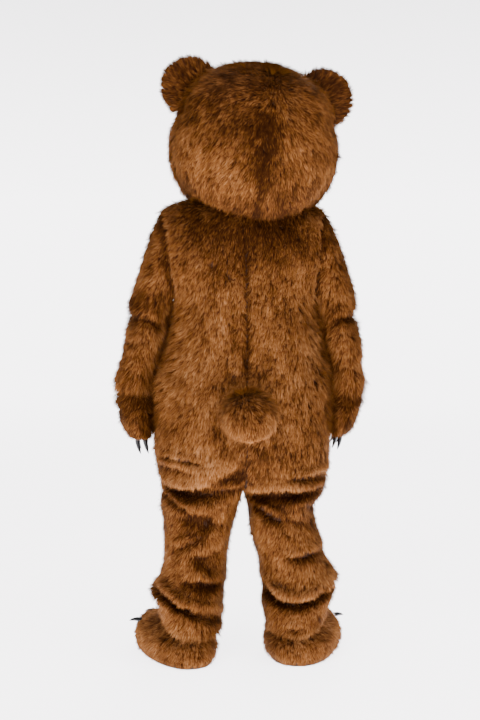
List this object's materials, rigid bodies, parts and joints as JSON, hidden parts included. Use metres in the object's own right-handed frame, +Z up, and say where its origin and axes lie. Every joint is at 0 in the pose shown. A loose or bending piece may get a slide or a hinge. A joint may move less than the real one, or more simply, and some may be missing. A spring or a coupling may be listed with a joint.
{
  "type": "bear mascot costume",
  "caption": "Full-body fur bear mascot costume in its worn shape: hollow suit with ball tail, hollow head with ears and muzzle, clawed gloves and clawed boots.",
  "frame": {"origin": "between the wearer's shoulders, on the centre line, 1.42 m above the floor the soles stand on", "axes": "+Z up, the bear faces -Y, its left side is at +X"},
  "size_m": [0.768, 0.6316, 1.8511],
  "materials": {
    "brown_fur": "long brown pile fur on a knitted backing",
    "tan_plush": "short tan plush",
    "black_moulding": "glossy black moulded plastic",
    "sole_rubber": "matt black sheet rubber"
  },
  "bodies": {
    "root": {"suit_back_left": "brown_fur", "suit_back_right": "brown_fur", "suit_front_left": "brown_fur", "suit_front_right": "brown_fur", "sleeve_left": "brown_fur", "sleeve_right": "brown_fur", "tail": "brown_fur", "head_back_left": "brown_fur", "head_back_right": "brown_fur", "head_front_left": "brown_fur", "head_front_right": "brown_fur", "ear_left": "brown_fur", "ear_right": "brown_fur", "muzzle": "tan_plush", "nose": "black_moulding", "eye_left": "black_moulding", "eye_right": "black_moulding", "glove_left": "brown_fur", "glove_right": "brown_fur", "glove_claw_left_1": "black_moulding", "glove_claw_left_2": "black_moulding", "glove_claw_left_3": "black_moulding", "glove_claw_left_4": "black_moulding", "glove_claw_right_1": "black_moulding", "glove_claw_right_2": "black_moulding", "glove_claw_right_3": "black_moulding", "glove_claw_right_4": "black_moulding", "boot_left": "brown_fur", "boot_right": "brown_fur", "sole_left": "sole_rubber", "sole_right": "sole_rubber", "boot_claw_left_1": "black_moulding", "boot_claw_left_2": "black_moulding", "boot_claw_left_3": "black_moulding", "boot_claw_left_4": "black_moulding", "boot_claw_right_1": "black_moulding", "boot_claw_right_2": "black_moulding", "boot_claw_right_3": "black_moulding", "boot_claw_right_4": "black_moulding"}
  },
  "joints": []
}
